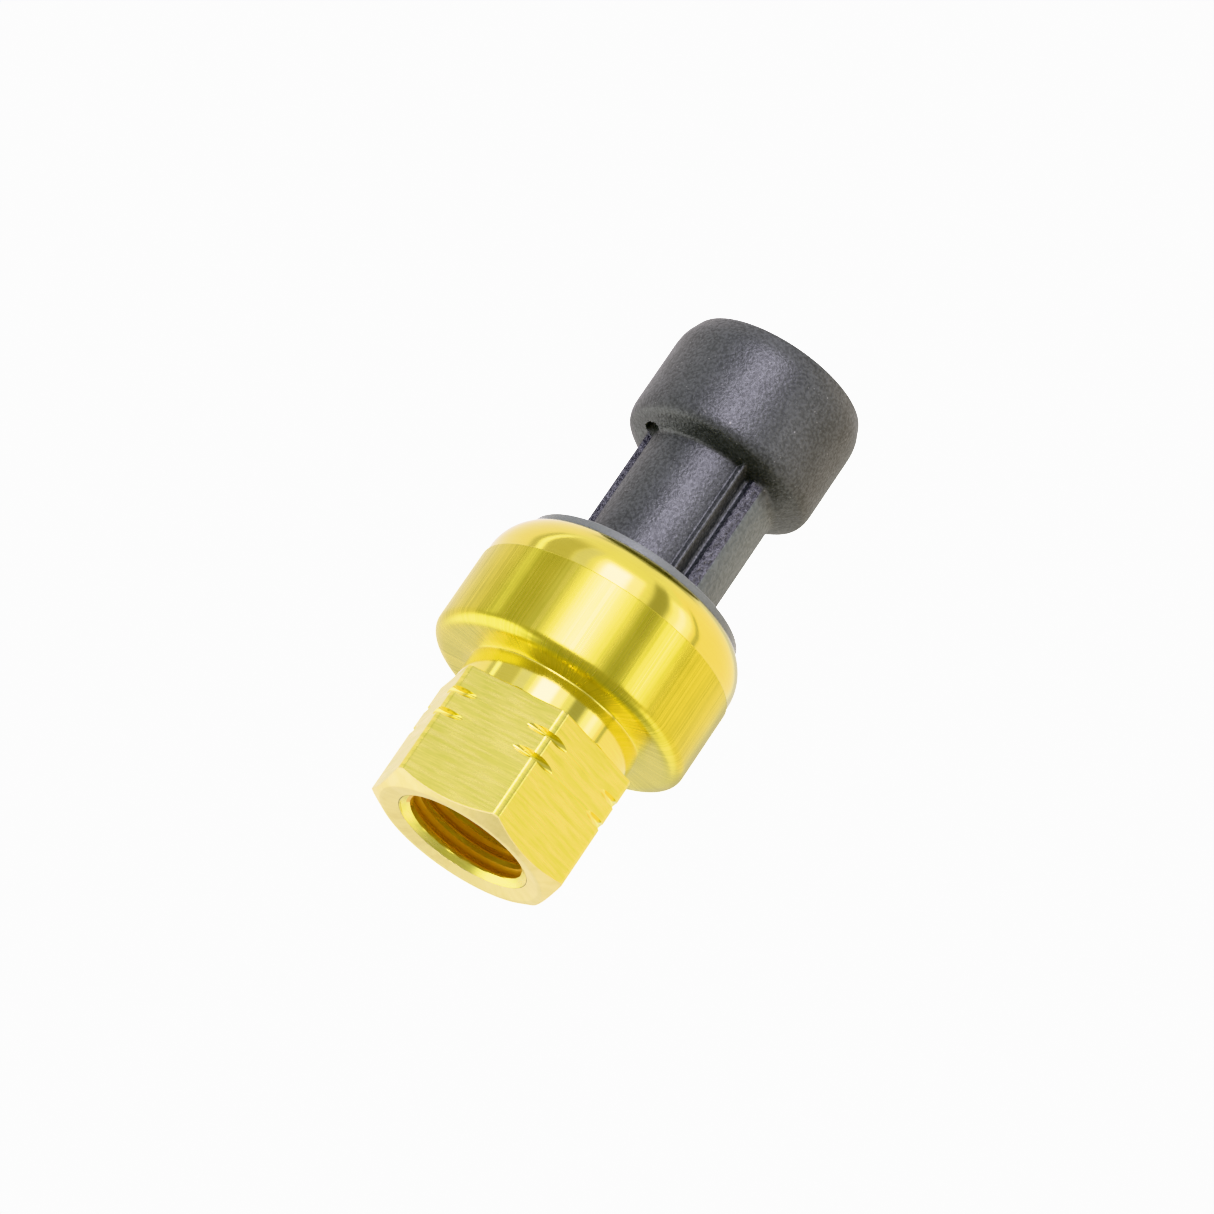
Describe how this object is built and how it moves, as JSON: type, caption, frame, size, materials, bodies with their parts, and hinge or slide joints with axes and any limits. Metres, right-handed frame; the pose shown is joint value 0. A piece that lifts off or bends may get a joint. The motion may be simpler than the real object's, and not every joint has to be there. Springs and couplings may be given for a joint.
{
  "type": "pressure switch",
  "caption": "Round brass pressure switch with a threaded flare port, a wrench hexagon, a crimped collar, and a moulded round connector on a stalk.",
  "frame": {"origin": "centre of the port's end face, which is also the bottom centre of the whole part", "axes": "+Z along the axis from the port to the connector; -Y is the side with the stalk's key rib, +Y the side with the latch catch"},
  "size_m": [0.022, 0.022, 0.0455],
  "materials": {
    "brass_body": "bright turned brass, hexagon flats brushed across",
    "brass_stem": "turned brass",
    "black_rubber": "smooth moulded rubber",
    "film": "amber polyimide film",
    "steel": "stamped and deburred",
    "spring_steel": "rolled spring steel",
    "guide_plastic": "moulded phenolic",
    "ceramic": "unglazed alumina",
    "contact_brass": "rolled phosphor bronze",
    "silver": "silver contact metal",
    "tin_plate": "tin-plated brass",
    "black_plastic": "glass-filled moulding with a fine sparkling grain",
    "grey_rubber": "matte grey silicone"
  },
  "bodies": {
    "button": {"pressure_button": "steel"},
    "pin": {"transfer_pin": "ceramic"},
    "arm": {"contact_arm": "contact_brass", "moving_contact": "silver"},
    "case": {"port_body": "brass_body", "valve_depressor": "brass_stem", "chamber_seal": "black_rubber", "diaphragm": "film", "pressure_plate": "steel", "disc_ring": "steel", "snap_disc": "spring_steel", "pin_guide": "guide_plastic", "pivot_pin": "steel", "no_contact": "silver", "nc_contact": "silver", "no_terminal": "tin_plate", "nc_terminal": "tin_plate", "common_terminal": "tin_plate", "return_spring": "spring_steel", "connector_housing": "black_plastic", "environmental_seal": "grey_rubber"}
  },
  "joints": [
    {"name": "button_stroke", "type": "slide", "parent": "case", "child": "button", "axis": [0, 0, 1], "range_m": [0, 0.0003], "stiffness_N_per_m": 20, "springref_m": -0.0005, "deforming": ["snap_disc"]},
    {"name": "pin_stroke", "type": "slide", "parent": "case", "child": "pin", "axis": [0, 0, 1], "range_m": [0, 0.0003]},
    {"name": "arm_swing", "type": "hinge", "parent": "case", "child": "arm", "pos_m": [-0.0052, 0, 0.02062], "axis": [0, -1, 0], "range_deg": [0, 3.4], "deforming": ["return_spring"]}
  ],
  "couplings": [
    {"joint": "pin_stroke", "follows": "button_stroke", "ratio": 1},
    {"joint": "arm_swing", "follows": "button_stroke", "rad_per_m": 192.31}
  ]
}
